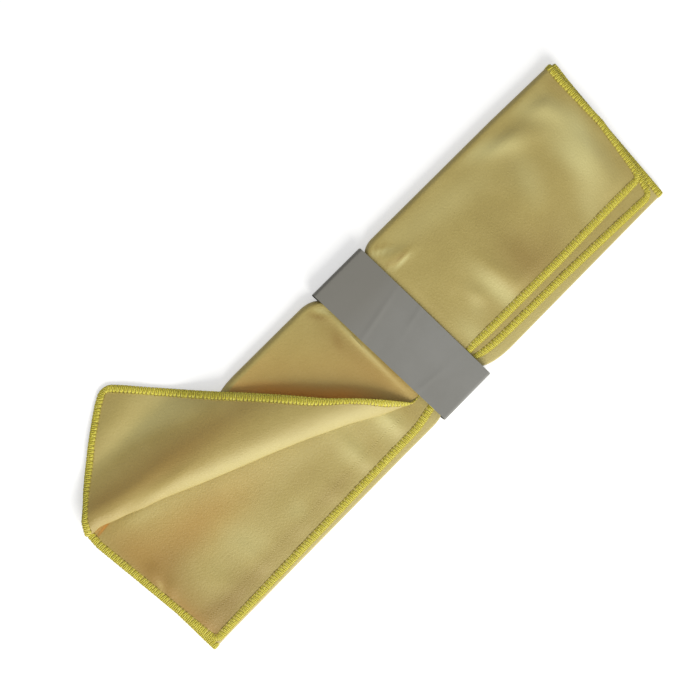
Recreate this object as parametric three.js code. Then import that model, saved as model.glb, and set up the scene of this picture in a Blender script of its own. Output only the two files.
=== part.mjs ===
// Microfibre cloth, folded in four to a strip and held by a paper band, with one corner turned back.
// Millimetres, +Z up. The origin is under the middle of the band, on the surface that the cloth lies on.
// +X runs along the strip. +Y points to the double fold, and the single fold and the free edges are at -Y.
import * as THREE from "three";

// Cloth
const clothLength = 396; // along the strip
const foldedWidth = 108; // across the folded strip, stitched ends included
const fabric = 0.6;
const layerGap = 0.25; // air between the stitched edges of two layers
const topEdgeInset = 16; // free edge of the top layer, in from the single fold
const underEdgeInset = 5; // free edge of the layer below it
const cornerRadius = 6; // of the cut sheet
const tableGap = 0.2; // under the stitched end, so that the sheet itself lies on the table

// Overlock stitching round the sheet
const stitchWidth = 4.4; // how far the looper threads reach in from the edge
const thread = 0.35;
const threadGap = 0.22; // thread to fabric
const threadSpacing = 0.3; // between two threads

// Turned corner
const creaseInset = 0.6; // crease to the double fold, at the end of the strip
const creaseClear = 2.5; // crease to the band, at the free edge
const creaseBow = 4.4; // how far the crease lies from the straight line between its ends
const creaseBend = 4; // and how much further near the band
const bendPlace = 0.78; // shares of the crease's length
const bendReach = 0.14;
const bowStart = 0.17;
const bowEnd = 0.1;
const rollRadius = 3; // where the top layer turns up into the roll
const humpRun = 16; // the roll rounds off over this run
const humpRise = 6.3;
const settleRun = 29; // and the flap sinks behind it over this one
const settleDrop = 6.7;
const endScale = 0.6; // size of the roll at the ends of the crease, against its middle
const hingeGap = 0.6; // between the two halves of the roll, along the crease
const edgePull = 5; // how far the crease draws up the free edge next to the band
const edgePullReach = 12;
const droopStart = 8; // the flap starts to droop this far inside the double fold
const droopRun = 46;

// Paper band
const bandWidth = 40;
const bandShift = 16; // the band sits this far from the middle of the cloth
const bandSkew = 0.04; // how far it leans along the strip for each millimetre across
const paper = 0.25;
const glue = 0.1;
const lapWidth = 14; // the paper's ends overlap on the underside
const glueMargin = 2; // bare paper round the glue
const bandClearance = 0.3;
const bandCorner = 3; // rounding of the paper at the strip's sides

// How the cloth lies in the band
const drawIn = 4.5; // the folds are drawn in this much by the band
const drawInRun = 26; // and are straight again this far from it
const drawInCore = 30; // nothing nearer the middle line is drawn in
const bandRamp = 34; // the sheet rises from the table to the band over this run
const endRamp = 18; // and to the stitched end over this one

// Fineness of the solids
const plainStep = 46;
const layerStep = 36;
const turnSteps = 4;
const profileSteps = 24; // for each part of the roll's profile
const droopShares = [0, 0.1, 0.2, 0.3, 0.4, 0.5, 0.6, 0.7, 0.8, 0.9, 1];
const flapCuts = [1.08, 1.17, 1.25, 1.34, 1.5, 1.67, 1.84, 2, 2.17, 2.34, 2.5, 2.67, 2.75, 2.84, 2.92, 3]; // parts of the roll's profile
const hairline = 1e-6;

// Sizes that follow
const stitchFace = fabric / 2 + threadGap; // sheet's middle to the thread's near face
const stitchReach = stitchFace + thread; // to its far face
const layerPitch = 2 * stitchReach + layerGap;
const outerTurn = 1.5 * layerPitch;
const innerTurn = 0.5 * layerPitch;
const doubleTurnY = foldedWidth / 2 - stitchReach - outerTurn;
const singleTurnY = -(foldedWidth / 2 - stitchReach - innerTurn);
const topEdgeY = -foldedWidth / 2 + topEdgeInset;
const underEdgeY = -foldedWidth / 2 + underEdgeInset;
const leftEnd = -clothLength / 2 - bandShift;
const rightEnd = clothLength / 2 - bandShift;
const droopY = foldedWidth / 2 - droopStart;
const lapTop = 2 * paper + glue;
const bandLift = lapTop + bandClearance; // underside of the sheet inside the band
const endLift = stitchReach - fabric / 2; // and of the sheet at a stitched end, above its thread
const needleStart = stitchWidth + threadSpacing; // the needle thread runs just inside the looper threads
const flapStitchStart = needleStart + thread; // clear of the crest of the roll
const bandReach = bandWidth / 2 + (bandSkew * foldedWidth) / 2; // furthest corner of the band along X

const smooth = (t) => THREE.MathUtils.smoothstep(t, 0, 1);

// Section of the folded sheet, from the top layer's free edge to the free edge below it

function layerRun(fromY, toY, level) {
  const way = Math.sign(toY - fromY);
  const length = Math.abs(toY - fromY);
  const steps = Math.ceil(length / layerStep);
  return { length, steps, at: (d) => [fromY + way * d, level * layerPitch] };
}

function turnRun(centreY, centreLevel, radius, startAngle, sense) {
  const at = (d) => {
    const angle = startAngle + (sense * d) / radius;
    return [centreY + radius * Math.cos(angle), centreLevel * layerPitch + radius * Math.sin(angle)];
  };
  return { length: Math.PI * radius, steps: turnSteps, at };
}

const runs = [
  layerRun(topEdgeY, doubleTurnY, 3),
  turnRun(doubleTurnY, 1.5, outerTurn, Math.PI / 2, -1),
  layerRun(doubleTurnY, singleTurnY, 0),
  turnRun(singleTurnY, 0.5, innerTurn, -Math.PI / 2, -1),
  layerRun(singleTurnY, doubleTurnY, 1),
  turnRun(doubleTurnY, 1.5, innerTurn, -Math.PI / 2, 1),
  layerRun(doubleTurnY, underEdgeY, 2),
];
const topLayerRun = runs[0].length;
const sheetWidth = runs.reduce((sum, run) => sum + run.length, 0);

function sectionPoint(v) {
  let start = 0;
  for (const run of runs.slice(0, -1)) {
    if (v <= start + run.length) return run.at(v - start);
    start += run.length;
  }
  return runs.at(-1).at(v - start);
}

// How the sheet lies: raised over the band's paper and over its own stitched ends, drawn in at the band

function restLevel(x) {
  const onBand = smooth((x + bandReach + bandRamp) / bandRamp);
  const atLeftEnd = smooth((leftEnd + endRamp - x) / endRamp);
  const atRightEnd = smooth((x - rightEnd + endRamp) / endRamp);
  return fabric / 2 + bandLift * onBand + (endLift + tableGap) * atLeftEnd + endLift * atRightEnd;
}

function drawnY(x, y) {
  const nearBand = 1 - smooth((Math.abs(x) - bandReach) / drawInRun);
  const nearFold = smooth((Math.abs(y) - drawInCore) / (foldedWidth / 2 - drawInCore));
  return y - Math.sign(y) * drawIn * nearBand * nearFold;
}

// Crease of the turned corner, in the flat top layer

const creaseStart = new THREE.Vector2(leftEnd, doubleTurnY - creaseInset);
const creaseEnd = new THREE.Vector2(-bandWidth / 2 - creaseClear, topEdgeY);
const creaseSpan = creaseEnd.distanceTo(creaseStart);
const alongCrease = creaseEnd.clone().sub(creaseStart).normalize();
const overCrease = new THREE.Vector2(alongCrease.y, -alongCrease.x); // towards the loose corner

const fromCreaseStart = ([u, v]) => new THREE.Vector2(u, topEdgeY + v).sub(creaseStart);
const creaseTravel = (p) => fromCreaseStart(p).dot(alongCrease);
const creaseShare = (p) => THREE.MathUtils.clamp(creaseTravel(p) / creaseSpan, 0, 1);
const foldScale = (p) => THREE.MathUtils.lerp(endScale, 1, 4 * creaseShare(p) * (1 - creaseShare(p)));
function bowAt(p) {
  const t = creaseShare(p);
  const bend = creaseBend * Math.exp(-(((t - bendPlace) / bendReach) ** 2));
  return (creaseBow + bend) * smooth(t / bowStart) * smooth((1 - t) / bowEnd);
}
const pastCrease = (p) => fromCreaseStart(p).dot(overCrease) + bowAt(p);

// Profile across the crease, as points [out, up]: up round the roll, over its crest, and down behind it
function foldProfile() {
  const points = [[0, 0]];
  const add = (make) => {
    for (let i = 1; i <= profileSteps; i++) points.push(make(i / profileSteps));
  };
  const quarter = Math.PI / 2;
  add((t) => [rollRadius * Math.sin(t * quarter), rollRadius * (1 - Math.cos(t * quarter))]);
  add((t) => [rollRadius - humpRun * (1 - Math.cos(t * quarter)), rollRadius + humpRise * Math.sin(t * quarter)]);
  add((t) => [rollRadius - humpRun - settleRun * t, rollRadius + humpRise - settleDrop * smooth(t)]);
  return points;
}

const profile = foldProfile();
const profileRuns = [0]; // length of fabric up to each point
for (let i = 1; i < profile.length; i++) {
  const [a, b] = [profile[i - 1], profile[i]];
  profileRuns.push(profileRuns[i - 1] + Math.hypot(b[0] - a[0], b[1] - a[1]));
}
const halfRollRun = profileRuns[profileSteps];
const crestRun = profileRuns[2 * profileSteps];

function profileAt(run) {
  const last = profile.length - 1;
  if (run >= profileRuns[last]) return [profile[last][0] - (run - profileRuns[last]), profile[last][1]];
  const i = Math.max(profileRuns.findIndex((length) => length > run), 1);
  const t = (run - profileRuns[i - 1]) / (profileRuns[i] - profileRuns[i - 1]);
  return [0, 1].map((k) => THREE.MathUtils.lerp(profile[i - 1][k], profile[i][k], t));
}

const foldRun = (p) => pastCrease(p) / foldScale(p);
const pastHalfRoll = (p) => pastCrease(p) - halfRollRun * foldScale(p);
const pastCrest = (p) => pastCrease(p) - crestRun * foldScale(p);

// Where the top layer lies in plan: drawn in by the band, and drawn up at the end of the crease.
function topLayerY(x, y) {
  const away = Math.hypot(x - creaseEnd.x, y - creaseEnd.y) / edgePullReach;
  return drawnY(x, y) + edgePull * Math.exp((-away * away) / 2);
}

// A point of the turned corner: over the roll, back along the strip, then down beyond the double fold.
function turnedPoint(u, v) {
  const p = [u, v];
  const scale = foldScale(p);
  const [out, up] = profileAt(foldRun(p));
  const plan = creaseStart
    .clone()
    .addScaledVector(alongCrease, creaseTravel(p))
    .addScaledVector(overCrease, out * scale - bowAt(p));
  const rolled = restLevel(plan.x) + 3 * layerPitch + up * scale;
  const onTable = stitchReach + tableGap;
  const beyond = smooth((plan.y - droopY) / droopRun) * smooth(pastCrest(p) / droopRun);
  return new THREE.Vector3(plan.x, topLayerY(plan.x, plan.y), THREE.MathUtils.lerp(rolled, onTable, beyond));
}

function middlePoint(u, v) {
  const inTop = v < topLayerRun;
  if (inTop && pastCrease([u, v]) > 0) return turnedPoint(u, v);
  const [y, z] = sectionPoint(v);
  return new THREE.Vector3(u, inTop ? topLayerY(u, y) : drawnY(u, y), z + restLevel(u));
}

// The point of the folded cloth at (u, v) of the flat sheet, offset square to the fabric.
function clothPoint(u, v, offset) {
  const probe = 0.01;
  const alongU = middlePoint(u + probe, v).sub(middlePoint(u - probe, v));
  const alongV = middlePoint(u, v + probe).sub(middlePoint(u, v - probe));
  return middlePoint(u, v).addScaledVector(alongU.cross(alongV).normalize(), offset);
}

// Flat pattern of the sheet, as cells that are cut along the crease and round the corners

function stations(keys, longest) {
  const sorted = [...keys].sort((a, b) => a - b);
  const made = [sorted[0]];
  for (const key of sorted.slice(1)) {
    const from = made.at(-1);
    const steps = Math.ceil((key - from) / longest);
    for (let i = 1; i <= steps; i++) made.push(from + ((key - from) * i) / steps);
  }
  return made;
}

function runStations() {
  const made = [0];
  for (const run of runs) {
    const from = made.at(-1);
    for (let i = 1; i <= run.steps; i++) made.push(from + (run.length * i) / run.steps);
  }
  return made;
}

function gridCells(us, vs) {
  const cells = [];
  for (let i = 1; i < us.length; i++) {
    for (let j = 1; j < vs.length; j++) {
      cells.push([
        [us[i - 1], vs[j - 1]],
        [us[i], vs[j - 1]],
        [us[i], vs[j]],
        [us[i - 1], vs[j]],
      ]);
    }
  }
  return cells;
}

// The point between p and q where measure is value.
function crossing(p, q, measure, value) {
  let [low, high] = measure(p) < value ? [p, q] : [q, p];
  for (let i = 0; i < 40; i++) {
    const middle = [(low[0] + high[0]) / 2, (low[1] + high[1]) / 2];
    if (measure(middle) < value) low = middle;
    else high = middle;
  }
  return low;
}

// Cuts one cell where measure is value, and returns the parts below and above.
function splitCell(cell, measure, value) {
  const below = [];
  const above = [];
  cell.forEach((p, i) => {
    const q = cell[(i + 1) % cell.length];
    const a = measure(p) - value;
    const b = measure(q) - value;
    if (a < hairline) below.push(p);
    if (a > -hairline) above.push(p);
    if (Math.min(a, b) < -hairline && Math.max(a, b) > hairline) {
      const cut = crossing(p, q, measure, value);
      below.push(cut);
      above.push(cut);
    }
  });
  return { below, above };
}

const isCell = (cell) => cell.length > 2;

function cutCells(cells, measure, value) {
  return cells.flatMap((cell) => {
    const { below, above } = splitCell(cell, measure, value);
    return [below, above].filter(isCell);
  });
}

function keepBelow(cells, measure, value) {
  return cells.map((cell) => splitCell(cell, measure, value).below).filter(isCell);
}

function keepAbove(cells, measure, value) {
  return cells.map((cell) => splitCell(cell, measure, value).above).filter(isCell);
}

// Rounds a corner of the pattern by cutting it along tangents of its arc.
function roundCorner(cells, cornerU, cornerV, insideU, insideV) {
  const centreU = cornerU + insideU * cornerRadius;
  const centreV = cornerV + insideV * cornerRadius;
  let made = cells;
  for (const degrees of [22.5, 45, 67.5]) {
    const angle = THREE.MathUtils.degToRad(degrees);
    const reach = ([u, v]) =>
      -insideU * (u - centreU) * Math.cos(angle) - insideV * (v - centreV) * Math.sin(angle);
    made = keepBelow(made, reach, cornerRadius);
  }
  return made;
}

function sheetPattern() {
  const us = stations(
    [
      leftEnd,
      leftEnd + endRamp / 2,
      leftEnd + endRamp,
      -bandReach - bandRamp,
      -bandReach - bandRamp / 2,
      -bandReach,
      bandReach,
      bandReach + drawInRun / 2,
      bandReach + drawInRun,
      rightEnd - endRamp,
      rightEnd - endRamp / 2,
      rightEnd,
    ],
    plainStep,
  );
  let cells = gridCells(us, runStations());
  cells = roundCorner(cells, leftEnd, 0, 1, 1);
  cells = roundCorner(cells, rightEnd, 0, -1, 1);
  cells = roundCorner(cells, rightEnd, sheetWidth, -1, -1);
  return roundCorner(cells, leftEnd, sheetWidth, 1, -1);
}

const inTopLayer = (cell) => cell.every(([, v]) => v < topLayerRun + hairline);

// How far across its drooping run a point of the flap lies
const droopShare = ([u, v]) => (turnedPoint(u, v).y - droopY) / droopRun;

// Splits the pattern at the crease into the cells that lie and the cells of the turned corner.
// The roll is cut into narrow strips, and so is the flap.
function creasedPattern() {
  const cells = sheetPattern();
  const top = cells.filter(inTopLayer);
  const rest = cells.filter((cell) => !inTopLayer(cell));
  let lying = keepBelow(top, pastHalfRoll, -hingeGap / 2);
  for (const share of [0, 0.2, 0.4, 0.6, 0.8]) lying = cutCells(lying, foldRun, profileRuns[Math.round(profileSteps * share)]);
  let turned = keepAbove(top, pastHalfRoll, hingeGap / 2);
  for (const part of flapCuts) turned = cutCells(turned, foldRun, profileRuns[Math.round(profileSteps * part)]);
  turned = cutCells(turned, pastCrest, flapStitchStart);
  for (const share of droopShares) turned = cutCells(turned, droopShare, share);
  return { lying: [...rest, ...lying], turned };
}

// Solids from the flat pattern

const cellKey = ([u, v]) => `${Math.round(u * 1e4)},${Math.round(v * 1e4)}`;

function boundaryEdges(cells) {
  const edges = new Map();
  for (const cell of cells) {
    cell.forEach((p, i) => {
      const q = cell[(i + 1) % cell.length];
      const reverse = `${cellKey(q)}>${cellKey(p)}`;
      if (!edges.delete(reverse)) edges.set(`${cellKey(p)}>${cellKey(q)}`, [p, q]);
    });
  }
  return [...edges.values()];
}

function solidGeometry(points, triangles) {
  const geometry = new THREE.BufferGeometry();
  geometry.setAttribute("position", new THREE.Float32BufferAttribute(points.flatMap((p) => p.toArray()), 3));
  geometry.setIndex(triangles.flat());
  geometry.computeVertexNormals();
  return geometry;
}

function sheetGeometry(cells) {
  const points = [];
  const triangles = [];
  const numbers = new Map();
  // Each pattern point gives two points of the solid: one on the upper face and one on the lower face.
  const number = (p) => {
    const key = cellKey(p);
    if (!numbers.has(key)) {
      numbers.set(key, points.length);
      points.push(clothPoint(p[0], p[1], fabric / 2), clothPoint(p[0], p[1], -fabric / 2));
    }
    return numbers.get(key);
  };
  for (const cell of cells) {
    const corners = cell.map(number);
    for (let i = 2; i < corners.length; i++) {
      const [a, b, c] = [corners[0], corners[i - 1], corners[i]];
      triangles.push([a, b, c], [a + 1, c + 1, b + 1]);
    }
  }
  for (const [p, q] of boundaryEdges(cells)) {
    const [a, b] = [number(p), number(q)];
    triangles.push([a, a + 1, b + 1], [a, b + 1, b]);
  }
  return solidGeometry(points, triangles);
}

// Stitching: threads swept along the sheet's edge, with sections in (distance in from the edge, offset)

// The pattern's edge as one open line, over the edges that are stitched.
function edgeLine(cells, isStitched) {
  const edges = boundaryEdges(cells).filter((edge) => edge.every(isStitched));
  const next = new Map(edges.map(([p, q]) => [cellKey(p), q]));
  const ends = new Set(edges.map(([, q]) => cellKey(q)));
  let point = edges.find(([p]) => !ends.has(cellKey(p)))[0];
  const line = [point];
  while (next.has(cellKey(point))) {
    point = next.get(cellKey(point));
    line.push(point);
  }
  return line;
}

// For each point of the line, the step inwards that keeps the same distance from both its sides.
function inwardSteps(line) {
  const squareTo = (p, q) => new THREE.Vector2(p[1] - q[1], q[0] - p[0]).normalize();
  return line.map((p, i) => {
    const before = squareTo(line[Math.max(i - 1, 0)], line[Math.max(i, 1)]);
    const after = squareTo(line[Math.min(i, line.length - 2)], line[Math.min(i + 1, line.length - 1)]);
    const middle = before.clone().add(after).normalize();
    return middle.divideScalar(middle.dot(before));
  });
}

function threadGeometry(line, section) {
  const steps = inwardSteps(line);
  const sides = section.length;
  const points = line.flatMap(([u, v], i) =>
    section.map(([inward, offset]) => clothPoint(u + steps[i].x * inward, v + steps[i].y * inward, offset)),
  );
  const triangles = [];
  for (let ring = 0; ring < line.length - 1; ring++) {
    for (let k = 0; k < sides; k++) {
      const a = ring * sides + k;
      const b = ring * sides + ((k + 1) % sides);
      triangles.push([a, b + sides, a + sides], [a, b, b + sides]);
    }
  }
  const cap = THREE.ShapeUtils.triangulateShape(section.map(([a, n]) => new THREE.Vector2(a, n)), []);
  const last = (line.length - 1) * sides;
  for (const [a, b, c] of cap) triangles.push([a, c, b], [last + a, last + b, last + c]);
  return solidGeometry(points, triangles);
}

// A looper thread covers one face and half of the sheet's edge.
const looperSection = [
  [stitchWidth, stitchFace],
  [stitchWidth, stitchReach],
  [-threadGap - thread, stitchReach],
  [-threadGap - thread, threadSpacing / 2],
  [-threadGap, threadSpacing / 2],
  [-threadGap, stitchFace],
];
const underLooperSection = looperSection.map(([inward, offset]) => [inward, -offset]).reverse();
const needleSection = [
  [needleStart, stitchFace],
  [needleStart + thread, stitchFace],
  [needleStart + thread, stitchReach],
  [needleStart, stitchReach],
];

// Paper band: one strip of paper that goes round the cloth and overlaps itself underneath

const bandInnerTop = bandLift + endLift + fabric / 2 + 3 * layerPitch + stitchReach + bandClearance;
const bandHalfWidth = foldedWidth / 2 + bandClearance;

// Outline of the paper seen along the strip, offset from the inner face of the loop.
function bandFace(offset) {
  const side = bandHalfWidth + offset;
  const top = bandInnerTop + offset;
  const innerLap = lapTop - offset;
  const outerLap = paper - offset;
  const r = bandCorner + offset;
  const face = new THREE.Path();
  face.moveTo(-lapWidth / 2, innerLap);
  face.lineTo(side - r, innerLap);
  face.absarc(side - r, innerLap + r, r, -Math.PI / 2, 0);
  face.absarc(side - r, top - r, r, 0, Math.PI / 2);
  face.absarc(-side + r, top - r, r, Math.PI / 2, Math.PI);
  face.absarc(-side + r, outerLap + r, r, Math.PI, 1.5 * Math.PI);
  face.lineTo(lapWidth / 2, outerLap);
  return face.getPoints(4);
}

// Stands a section drawn in (Y, Z) along X, centred on the band and leaning with it.
function bandGeometry(points, length) {
  const geometry = new THREE.ExtrudeGeometry(new THREE.Shape(points), { depth: length, bevelEnabled: false });
  geometry.translate(0, 0, -length / 2);
  const standing = new THREE.Matrix4().set(-bandSkew, 0, 1, 0, 1, 0, 0, 0, 0, 1, 0, 0, 0, 0, 0, 1);
  return geometry.applyMatrix4(standing);
}

function paperBandGeometry() {
  return bandGeometry([...bandFace(paper), ...bandFace(0).reverse()], bandWidth);
}

function glueGeometry() {
  const half = lapWidth / 2 - glueMargin;
  const corners = [
    [-half, paper],
    [half, paper],
    [half, paper + glue],
    [-half, paper + glue],
  ];
  return bandGeometry(corners.map(([y, z]) => new THREE.Vector2(y, z)), bandWidth - 2 * glueMargin);
}

// Materials and assembly

const clothMaterial = new THREE.MeshStandardMaterial({ color: 0xb9a462, roughness: 0.75, metalness: 0 });
const threadMaterial = new THREE.MeshStandardMaterial({ color: 0xcfc43c, roughness: 0.6, metalness: 0 });
const paperMaterial = new THREE.MeshStandardMaterial({ color: 0x888888, roughness: 0.8, metalness: 0 });
const glueMaterial = new THREE.MeshStandardMaterial({ color: 0xe6e1d2, roughness: 0.5, metalness: 0 });

function piece(name, geometry, material) {
  const mesh = new THREE.Mesh(geometry, material);
  mesh.name = name;
  return mesh;
}

const { lying, turned } = creasedPattern();
const lyingEdge = edgeLine(lying, (p) => p[1] > topLayerRun || pastCrease(p) < hairline);
const turnedEdge = edgeLine(turned, (p) => pastCrest(p) > flapStitchStart - hairline);

const foldedCloth = new THREE.Group();
foldedCloth.add(
  piece("cloth_sheet", sheetGeometry(lying), clothMaterial),
  piece("upper_looper_thread", threadGeometry(lyingEdge, looperSection), threadMaterial),
  piece("lower_looper_thread", threadGeometry(lyingEdge, underLooperSection), threadMaterial),
  piece("needle_thread", threadGeometry(lyingEdge, needleSection), threadMaterial),
);

const turnedCorner = new THREE.Group();
turnedCorner.add(
  piece("corner_flap", sheetGeometry(turned), clothMaterial),
  piece("corner_upper_looper_thread", threadGeometry(turnedEdge, looperSection), threadMaterial),
  piece("corner_lower_looper_thread", threadGeometry(turnedEdge, underLooperSection), threadMaterial),
  piece("corner_needle_thread", threadGeometry(turnedEdge, needleSection), threadMaterial),
);

const band = new THREE.Group();
band.add(
  piece("paper_band", paperBandGeometry(), paperMaterial),
  piece("band_glue", glueGeometry(), glueMaterial),
);

const cloth = new THREE.Group();
cloth.add(foldedCloth, turnedCorner, band);

export default cloth;
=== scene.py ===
import math

import bmesh
import bpy
import numpy as np
from mathutils import Matrix, Vector


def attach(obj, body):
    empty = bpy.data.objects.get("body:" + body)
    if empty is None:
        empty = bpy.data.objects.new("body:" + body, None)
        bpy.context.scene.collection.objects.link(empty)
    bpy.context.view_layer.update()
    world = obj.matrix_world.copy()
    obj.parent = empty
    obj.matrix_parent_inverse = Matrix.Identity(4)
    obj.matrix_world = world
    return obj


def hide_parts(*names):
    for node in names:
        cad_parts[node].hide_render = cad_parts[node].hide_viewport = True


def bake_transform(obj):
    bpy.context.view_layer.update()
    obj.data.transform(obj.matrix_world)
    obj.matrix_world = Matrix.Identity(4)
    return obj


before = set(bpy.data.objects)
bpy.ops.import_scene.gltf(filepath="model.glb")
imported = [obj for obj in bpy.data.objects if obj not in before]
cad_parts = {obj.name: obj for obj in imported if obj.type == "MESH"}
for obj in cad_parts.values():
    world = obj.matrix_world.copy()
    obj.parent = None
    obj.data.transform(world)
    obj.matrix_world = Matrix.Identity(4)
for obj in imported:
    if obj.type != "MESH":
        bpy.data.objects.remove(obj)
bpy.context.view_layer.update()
scene = bpy.context.scene

# Sizes of the folded cloth, in millimetres
cloth = {
    "length": 396, "foldedWidth": 108, "bandShift": 16,
    "fabric": 0.6, "layerPitch": 1.99, "stitchReach": 0.87,
    "topEdgeInset": 16, "underEdgeInset": 5, "cornerRadius": 6, "tableGap": 0.2,
    "bandReach": 22.16, "bandLift": 0.9, "bandRamp": 34, "endLift": 0.57, "endRamp": 18,
    "bandHalf": 20, "bandSkew": 0.04, "drawInCore": 30, "shoulder": 1.5,
}
# How far the band draws in each side, and over what run: left of it and right of it
drawIn = {"double": ((7.5, 13), (7.5, 11)), "single": ((2.5, 9), (8, 24))}
# Soft unevenness of each layer: x, y, length, angle, width, height
softRidges = {
    "top": [
        (105, 8, 150, 0, 24, 1.6), (-60, 22, 60, 0, 20, 0.5), (-22.3, 14, 72, 92, 1.7, 1.0),
        (129, 39, 40, -27, 7, 1.8), (162, 36, 34, -55, 7, 1.7), (69, -15, 30, -80, 5, 1.4),
        (78, -14, 40, -85, 15, 1.6), (50, -13, 16, -75, 4.5, 1.0), (108, 2, 45, 65, 9, 1.2),
        (161, -4, 50, 75, 13, 2.2), (31, 36, 18, -12, 2.6, 1.2), (27, 41, 12, -20, 2.2, 0.8),
        (-27, 45, 14, 125, 2.0, 0.9),
    ],
    "under": [
        (-214, 0, 110, 90, 17, 1.7), (-71, -28, 30, 89, 4.5, 1.6), (-42, -29, 26, 91, 4.5, 1.6),
        (-125, -33, 24, 86, 6, 0.7), (-98, -34, 20, 90, 5, 0.6), (-158, -30, 30, 93, 6, 1.0),
        (-180, -30, 24, 96, 5, 0.6), (-205, 5, 12, 75, 3.5, 1.1), (-204, -8, 10, 60, 3.2, 0.8),
    ],
    "corner": [(-162, 86, 50, 8, 9, 1.6), (-120, 60, 30, -48, 8, 0.5)],
    "roll": [(-112, 12, 190, -24.5, 13, 1.6)],
}
ridgeTail = 0.55  # how softly a ridge runs out, as a share of its length
# Where the unevenness fades out, as start and run, and how much of it each run of the section takes
ridgeFade = {
    "leftOfBand": (0.4, 2), "rightOfBand": (2, 5), "plainEnd": (6, -16), "sides": (46, -8),
    "topEdge": (4, 8), "underEdge": (3, 8), "rollSides": (46, -10), "rollEnd": (-26, -30),
    "topShares": (1, 0.9, 0.08, 0.06, 0.25, 0.3, 0.35), "rollShares": (1, 0, 0, 0, 0.35, 0, 1),
}
# How far the cut ends and the two free edges wander: place on the sheet, shift
wander = {
    "leftEnd": [
        (0, 0.5), (12, -2), (35, -4.5), (60, -5.5), (78, -4.8), (87, -2), (90, 2), (97, 4), (110, 2),
        (200, 0.5), (290, 1.5), (303, 4), (306, 2), (310, -1.5), (318, -2.2), (350, 0), (407, 3.5),
    ],
    "rightEnd": [
        (0, -5.5), (10, -3.5), (45, 0), (80, -1.2), (88, -1), (97, 0.5), (150, 1), (200, -0.5),
        (203, -0.5), (255, 1), (305, 2.6), (308, 2.4), (330, 0.6), (390, -3), (407, -7),
    ],
    "lowerEdge": [
        (-214, 2.5), (-120, 0.6), (-34, -0.8), (-22, -3), (24, -4), (60, -3), (100, -2.2), (182, 0.6),
    ],
    "upperEdge": [(-214, 0), (20, 0), (27, 1.3), (100, 0.7), (150, 1.4), (182, 1.6)],
    "reach": 60,  # how far in from an edge its wandering is felt
}
# How much wider the double fold spreads than the layers were folded to, right of the turned corner
foldSpread = {
    "along": [(-108, 0), (-104, 0.5), (-97, 1.9), (-90, 2.3), (130, 2.3), (185, 1.3)], "across": (10, 44),
}

halfWidth = cloth["foldedWidth"] / 2
pitch = cloth["layerPitch"]
outerTurn = 1.5 * pitch
innerTurn = 0.5 * pitch
doubleTurnY = halfWidth - cloth["stitchReach"] - outerTurn
singleTurnY = -(halfWidth - cloth["stitchReach"] - innerTurn)
topEdgeY = -halfWidth + cloth["topEdgeInset"]
underEdgeY = -halfWidth + cloth["underEdgeInset"]
leftEnd = -cloth["length"] / 2 - cloth["bandShift"]
rightEnd = cloth["length"] / 2 - cloth["bandShift"]


def smooth(t):
    t = np.clip(t, 0, 1)
    return t * t * (3 - 2 * t)


# Nothing before the start, full after the run; a run below 0 goes the other way
def fade(value, start, run):
    return smooth((value - start) / run)


def swell(value, place, reach):
    return np.exp(-(((value - place) / reach) ** 2))


def lerp(a, b, t):
    return a + (b - a) * t


def along(rows, places):
    return np.interp(places, *zip(*rows))


# Runs of the folded section, from the top layer's free edge to the free edge below it:
# a line has its two ends and level, a turn its place, level, radius, first angle and sense
topLevel = 3
runs = [
    ("line", topEdgeY, doubleTurnY, topLevel),
    ("turn", doubleTurnY, 1.5, outerTurn, math.pi / 2, -1),
    ("line", doubleTurnY, singleTurnY, 0),
    ("turn", singleTurnY, 0.5, innerTurn, -math.pi / 2, -1),
    ("line", singleTurnY, doubleTurnY, 1),
    ("turn", doubleTurnY, 1.5, innerTurn, -math.pi / 2, 1),
    ("line", doubleTurnY, underEdgeY, 2),
]
topRun, singleTurnRun, innerRun, underRun = 0, 3, 4, 6
runLengths = [abs(r[2] - r[1]) if r[0] == "line" else math.pi * r[3] for r in runs]
runStarts = np.concatenate([[0], np.cumsum(runLengths)])
topLayerRun = runStarts[1]
sheetWidth = runStarts[-1]


def sectionPoints(v):
    y, z = np.zeros_like(v), np.zeros_like(v)
    number = np.clip(np.searchsorted(runStarts, v, side="right") - 1, 0, len(runs) - 1)
    for i, run in enumerate(runs):
        here = number == i
        d = v[here] - runStarts[i]
        if run[0] == "line":
            y[here] = run[1] + math.copysign(1, run[2] - run[1]) * d
            z[here] = run[3] * pitch
        else:
            angle = run[4] + run[5] * d / run[3]
            y[here] = run[1] + run[3] * np.cos(angle)
            z[here] = run[2] * pitch + run[3] * np.sin(angle)
    return y, z, number


# Middle of the lowest layer: on the paper from the band to the plain end, and on the stitches at both ends
def restLevel(x):
    onBand = fade(x, -cloth["bandReach"] - cloth["bandRamp"], cloth["bandRamp"])
    atLeft = fade(x, leftEnd + cloth["endRamp"], -cloth["endRamp"])
    atRight = fade(x, rightEnd - cloth["endRamp"], cloth["endRamp"])
    raised = cloth["fabric"] / 2 + cloth["bandLift"] * onBand
    return raised + (cloth["endLift"] + cloth["tableGap"]) * atLeft + cloth["endLift"] * atRight


def drawnY(x, y):
    fromBand = x + cloth["bandSkew"] * y
    rightSide = fade(fromBand, -cloth["bandHalf"], 2 * cloth["bandHalf"])
    nearFold = fade(np.abs(y), cloth["drawInCore"], halfWidth - cloth["drawInCore"])
    beside = np.abs(fromBand) - cloth["bandHalf"] + cloth["shoulder"]
    made = y.copy()
    for side, here in (("double", y > 0), ("single", y < 0)):
        (leftAmount, leftRun), (rightAmount, rightRun) = drawIn[side]
        away = np.clip(beside / lerp(leftRun, rightRun, rightSide), 0, 1)
        nearBand = 1 - np.sqrt(1 - (1 - away) ** 2)  # a rounded shoulder beside the band
        amount = lerp(leftAmount, rightAmount, rightSide)
        made -= np.where(here, np.sign(y) * amount * nearBand * nearFold, 0)
    return made


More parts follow.
